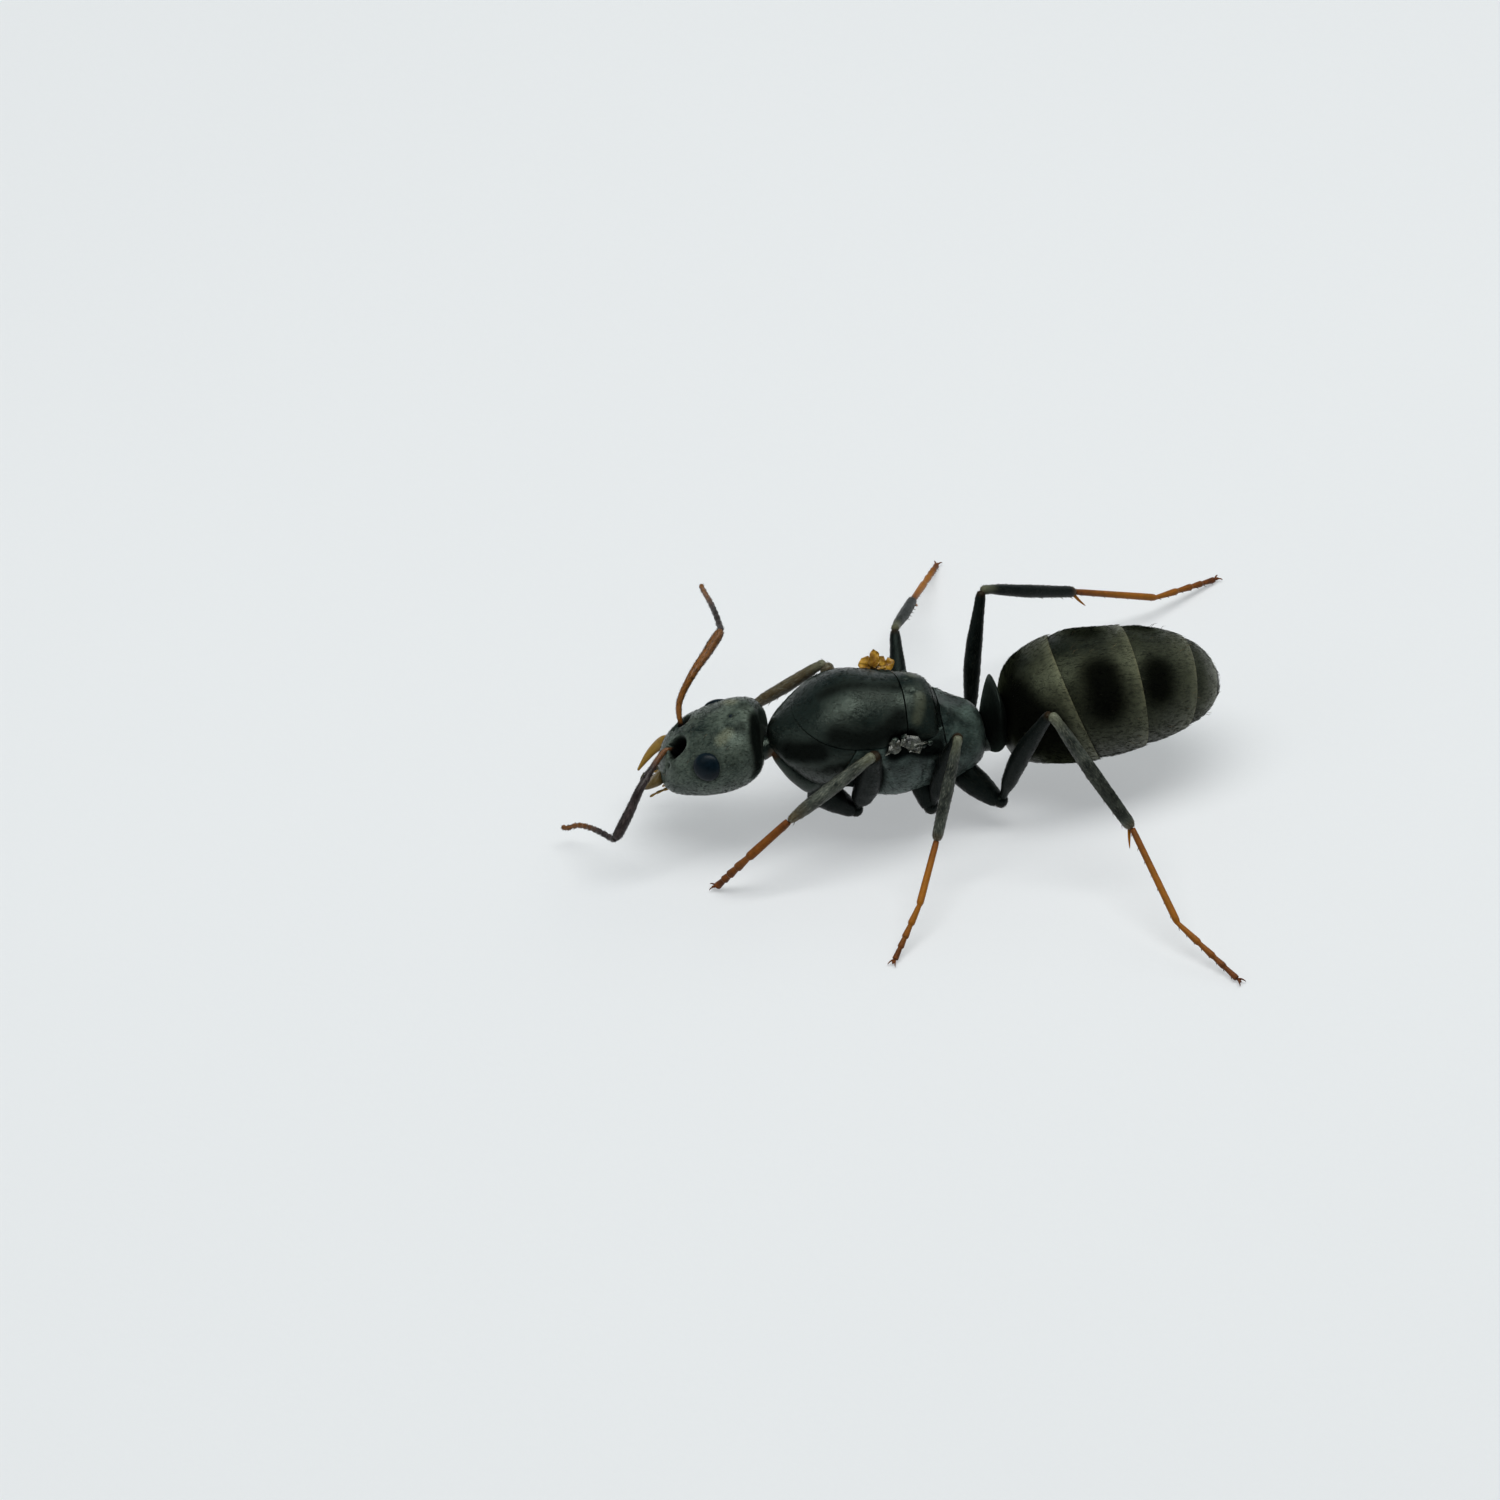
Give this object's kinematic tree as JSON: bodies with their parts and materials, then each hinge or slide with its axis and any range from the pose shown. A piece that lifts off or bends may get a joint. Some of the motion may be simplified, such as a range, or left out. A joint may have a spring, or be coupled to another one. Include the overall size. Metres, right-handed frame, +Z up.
{
  "type": "ant queen",
  "caption": "Wingless queen of a black ant, a still life-size model that stands on all its feet, with bent feelers and a banded gaster.",
  "frame": {"origin": "on the floor, at the middle of the queen's outline seen from above", "axes": "+Z up; the queen faces -X, with her left side towards -Y"},
  "size_m": [0.0122, 0.0106, 0.0029],
  "materials": {
    "black_shell": "satin black shell with a fine silky bloom",
    "gaster_shell": "black shell under short grey-brown silky hair",
    "leg_shell": "satin brown-black shell",
    "tarsus_shell": "satin red-brown shell",
    "feeler_shell": "satin umber shell",
    "wing_stub": "amber, torn",
    "eye": "glossy black, finely faceted"
  },
  "bodies": {
    "root": {"coxa_front_left": "black_shell", "femur_front_left": "leg_shell", "tibia_front_left": "leg_shell", "tarsus_front_left": "tarsus_shell", "coxa_front_right": "black_shell", "femur_front_right": "leg_shell", "tibia_front_right": "leg_shell", "tarsus_front_right": "tarsus_shell", "coxa_middle_left": "black_shell", "femur_middle_left": "leg_shell", "tibia_middle_left": "leg_shell", "tarsus_middle_left": "tarsus_shell", "coxa_middle_right": "black_shell", "femur_middle_right": "leg_shell", "tibia_middle_right": "leg_shell", "tarsus_middle_right": "tarsus_shell", "coxa_hind_left": "black_shell", "femur_hind_left": "leg_shell", "tibia_hind_left": "leg_shell", "tarsus_hind_left": "tarsus_shell", "coxa_hind_right": "black_shell", "femur_hind_right": "leg_shell", "tibia_hind_right": "leg_shell", "tarsus_hind_right": "tarsus_shell", "pronotum": "black_shell", "scutum": "black_shell", "scutellum": "black_shell", "propodeum": "black_shell", "mesopleuron_left": "black_shell", "wing_stub_left": "wing_stub", "mesopleuron_right": "black_shell", "wing_stub_right": "wing_stub", "petiole": "black_shell", "gaster_segment_1": "gaster_shell", "gaster_segment_2": "gaster_shell", "gaster_segment_3": "gaster_shell", "gaster_segment_4": "gaster_shell", "gaster_tip": "gaster_shell", "eye_left": "eye", "mandible_left": "feeler_shell", "eye_right": "eye", "mandible_right": "feeler_shell", "head": "black_shell", "scape_left": "feeler_shell", "funiculus_left": "feeler_shell", "scape_right": "feeler_shell", "funiculus_right": "feeler_shell", "neck": "black_shell"}
  },
  "joints": []
}
